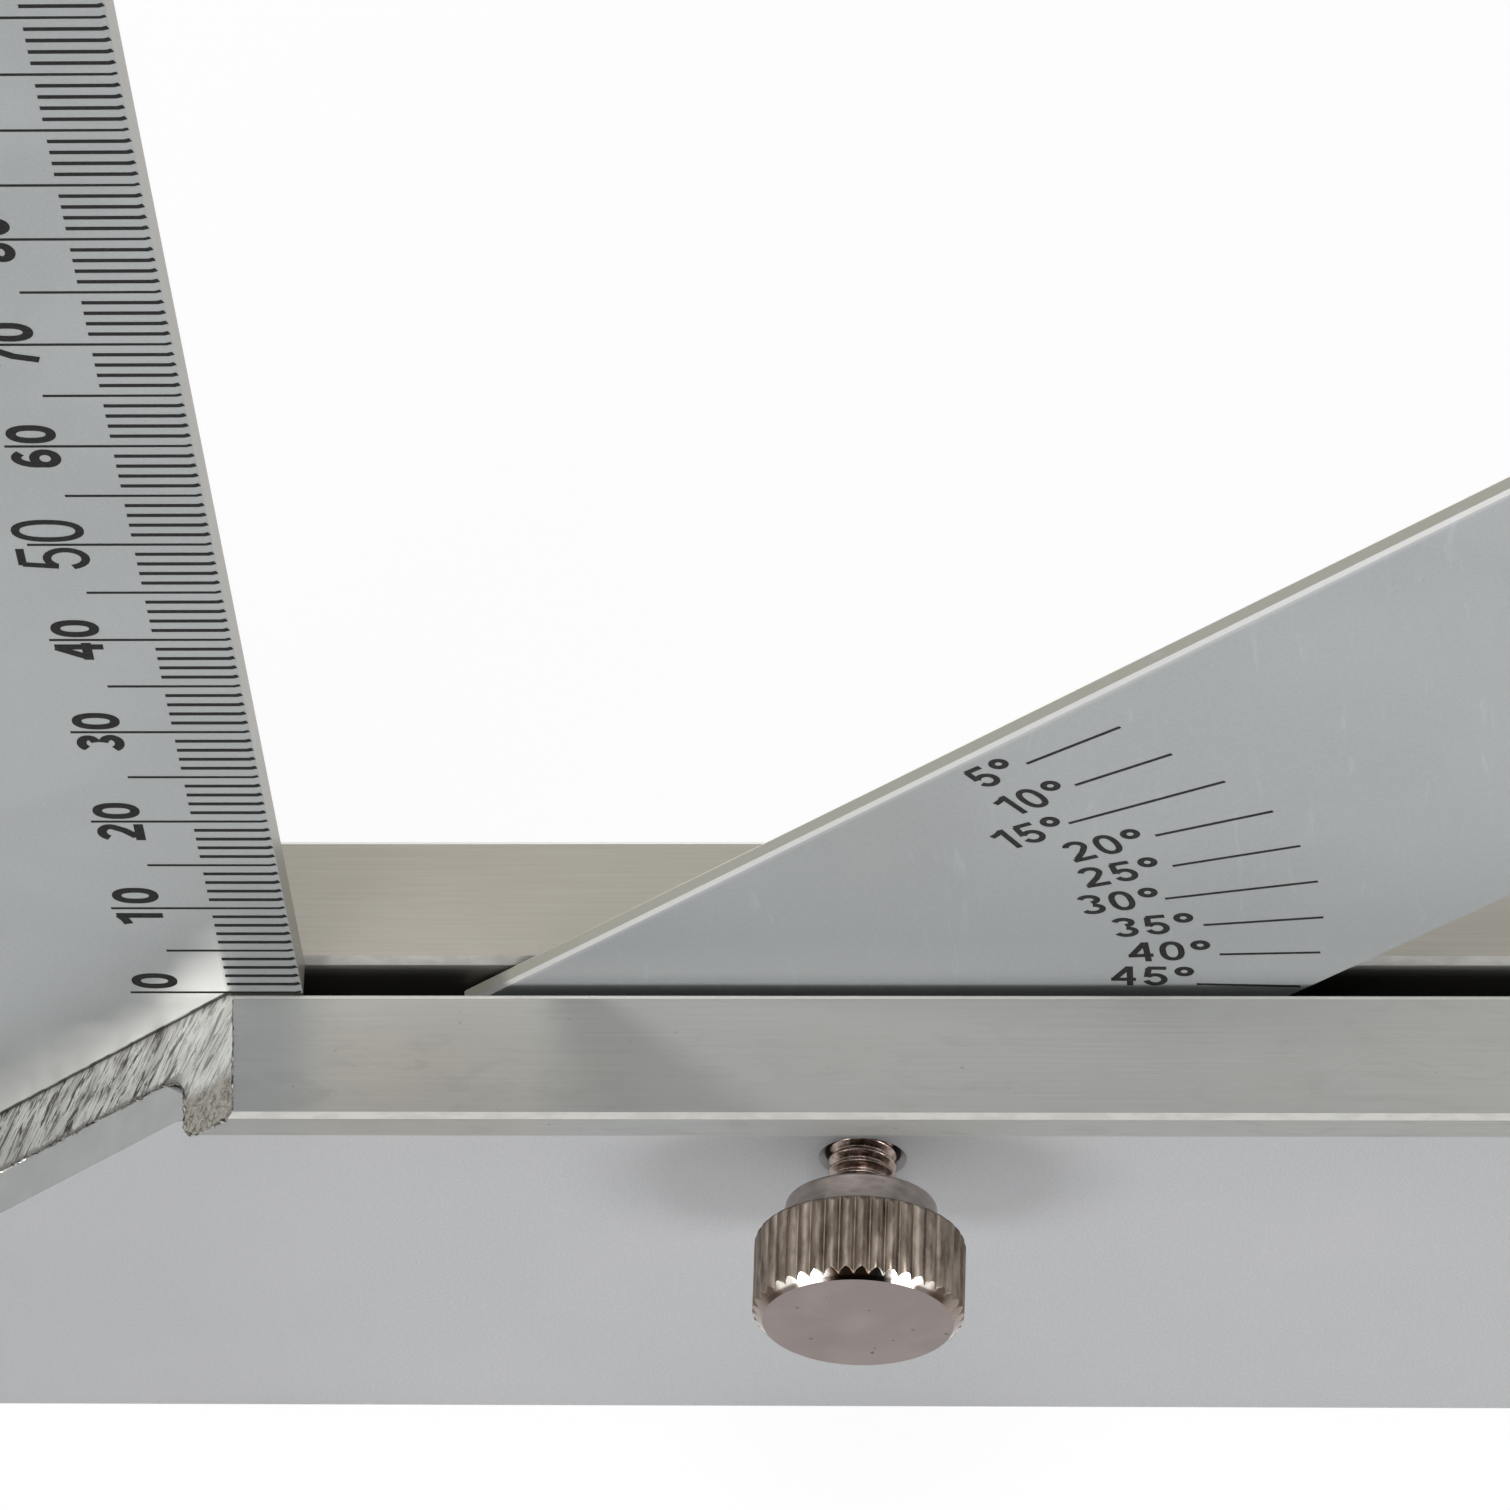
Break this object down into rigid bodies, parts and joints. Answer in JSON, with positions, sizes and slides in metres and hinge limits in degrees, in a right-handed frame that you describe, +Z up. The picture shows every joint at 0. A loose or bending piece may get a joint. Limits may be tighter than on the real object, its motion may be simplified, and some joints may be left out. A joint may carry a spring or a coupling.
{
  "type": "protractor square",
  "caption": "Try and mitre square with a slotted flanged stock, a millimetre scale blade and a tilting protractor blade held by a knurled thumbscrew.",
  "frame": {"origin": "corner where the scale blade's inner edge meets the fence, in the middle of the slot", "axes": "+X along the fence away from the scale blade, +Y to the back, away from the thumbscrew, +Z up along the scale blade's inner edge"},
  "size_m": [0.194, 0.0272, 0.295],
  "materials": {
    "rail": "drawn, satin, sawn at the mitre",
    "cheek": "fine blasted",
    "scale_plate": "matte anodised with black marks",
    "arm_plate": "matte anodised with black marks",
    "spacer": "mill finish",
    "pin_steel": "ground",
    "screw_steel": "dark zinc",
    "pad_brass": "turned",
    "knob_metal": "warm nickel plate"
  },
  "bodies": {
    "stock": {"front_rail": "rail", "rear_rail": "rail", "front_cheek": "cheek", "rear_cheek": "cheek", "scale_blade": "scale_plate", "bottom_spacer": "spacer", "end_spacer": "spacer", "dowel_pins": "pin_steel", "assembly_screws": "screw_steel", "cheek_screws": "screw_steel"},
    "arm": {"protractor_blade": "arm_plate"},
    "pad": {"pressure_pad": "pad_brass"},
    "screw": {"thumbscrew": "knob_metal"}
  },
  "joints": [
    {"name": "blade_tilt", "type": "hinge", "parent": "stock", "child": "arm", "pos_m": [0.0119, 0.0003, 0], "axis": [0, 1, 0], "range_deg": [-1.3, 43.7]},
    {"name": "clamp_travel", "type": "slide", "parent": "stock", "child": "pad", "axis": [0, -1, 0], "range_m": [0, 0.0021]},
    {"name": "thumbscrew_turn", "type": "hinge", "parent": "pad", "child": "screw", "pos_m": [0.0319, -0.013, -0.0076], "axis": [0, -1, 0], "range_deg": [0, 1080]}
  ],
  "couplings": [
    {"joint": "clamp_travel", "follows": "thumbscrew_turn", "m_per_rad": 0.00011141}
  ]
}
